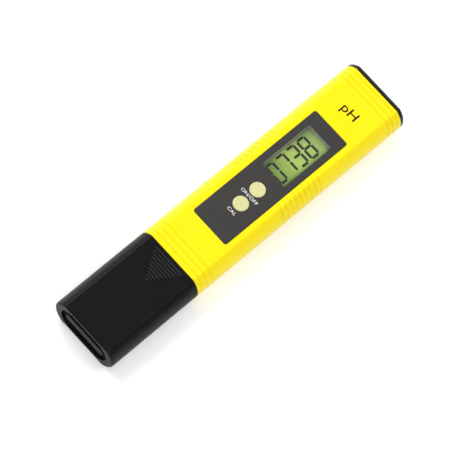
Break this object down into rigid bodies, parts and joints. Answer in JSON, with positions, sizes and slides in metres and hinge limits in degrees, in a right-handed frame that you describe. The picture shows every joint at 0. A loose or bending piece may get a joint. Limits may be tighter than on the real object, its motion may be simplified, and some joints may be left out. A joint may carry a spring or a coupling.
{
  "type": "digital ph meter",
  "caption": "Flat pen-shaped pH tester with a green display, press buttons, a pull-off probe cap, a glass probe in a guarded well and a cell bay under an end cap.",
  "frame": {"origin": "middle of the base that the tester lies on, under the centre of its length and width", "axes": "+Z out of the front face with the display, +Y along the pen towards the battery cap, +X across it"},
  "size_m": [0.031, 0.152, 0.0152],
  "materials": {
    "case_yellow": "satin moulded ABS",
    "cap_black": "fine satin moulded ABS",
    "label": "smooth printed film",
    "window": "clear moulded plastic",
    "display_frame": "pale moulded plastic",
    "display": "green reflective liquid crystal display",
    "button_cream": "satin cream plastic",
    "switch_body": "moulded resin",
    "switch_plunger": "moulded resin",
    "circuit_board": "solder-masked laminate",
    "chip_resin": "moulded epoxy",
    "component_ceramic": "fired ceramic",
    "inner_plastic": "moulded ABS",
    "steel": "nickel plated",
    "cell_steel": "pressed nickel-plated can",
    "silver": "silver wire",
    "electrode_glass": "thin clear glass",
    "rubber": "moulded rubber",
    "lead_black": "insulated wire",
    "lead_red": "insulated wire"
  },
  "bodies": {
    "tester": {"front_shell": "case_yellow", "rear_shell": "case_yellow", "front_label": "label", "display_window": "window", "lcd_frame": "display_frame", "lcd_panel": "display", "zebra_strip_left": "rubber", "zebra_strip_right": "rubber", "power_switch": "switch_body", "cal_switch": "switch_body", "main_board": "circuit_board", "controller_chip": "chip_resin", "amplifier_chip": "chip_resin", "quartz_crystal": "steel", "capacitor_1": "component_ceramic", "capacitor_2": "component_ceramic", "resistor_1": "chip_resin", "resistor_2": "chip_resin", "board_screw_1": "steel", "board_screw_2": "steel", "board_screw_3": "steel", "board_screw_4": "steel", "battery_holder": "inner_plastic", "cell_1": "cell_steel", "cell_2": "cell_steel", "cell_3": "cell_steel", "cell_4": "cell_steel", "positive_contact": "steel", "negative_contact": "steel", "electrode_holder": "inner_plastic", "glass_electrode": "electrode_glass", "reference_wire": "silver", "reference_junction": "component_ceramic", "stem_seal": "rubber", "cap_seal": "rubber", "electrode_lead": "lead_black", "reference_lead": "lead_red", "positive_lead": "lead_red", "negative_lead": "lead_black"},
    "probe_cap": {"protective_cap": "cap_black"},
    "end_cap": {"battery_cap": "cap_black"},
    "power_button": {"power_button": "button_cream"},
    "cal_button": {"cal_button": "button_cream"},
    "power_plunger": {"power_plunger": "switch_plunger"},
    "cal_plunger": {"cal_plunger": "switch_plunger"}
  },
  "joints": [
    {"name": "probe_cap_pull", "type": "slide", "parent": "tester", "child": "probe_cap", "axis": [0, -1, 0], "range_m": [0, 0.042]},
    {"name": "end_cap_pull", "type": "slide", "parent": "tester", "child": "end_cap", "axis": [0, 1, 0], "range_m": [0, 0.012]},
    {"name": "power_press", "type": "slide", "parent": "tester", "child": "power_button", "axis": [0, 0, -1], "range_m": [0, 0.00055], "stiffness_N_per_m": 1500, "springref_m": -0.0001},
    {"name": "cal_press", "type": "slide", "parent": "tester", "child": "cal_button", "axis": [0, 0, -1], "range_m": [0, 0.00055], "stiffness_N_per_m": 1500, "springref_m": -0.0001},
    {"name": "power_switch_press", "type": "slide", "parent": "tester", "child": "power_plunger", "axis": [0, 0, -1], "range_m": [0, 0.000275]},
    {"name": "cal_switch_press", "type": "slide", "parent": "tester", "child": "cal_plunger", "axis": [0, 0, -1], "range_m": [0, 0.000275]}
  ],
  "couplings": [
    {"joint": "power_switch_press", "follows": "power_press", "ratio": 0.5},
    {"joint": "cal_switch_press", "follows": "cal_press", "ratio": 0.5}
  ]
}
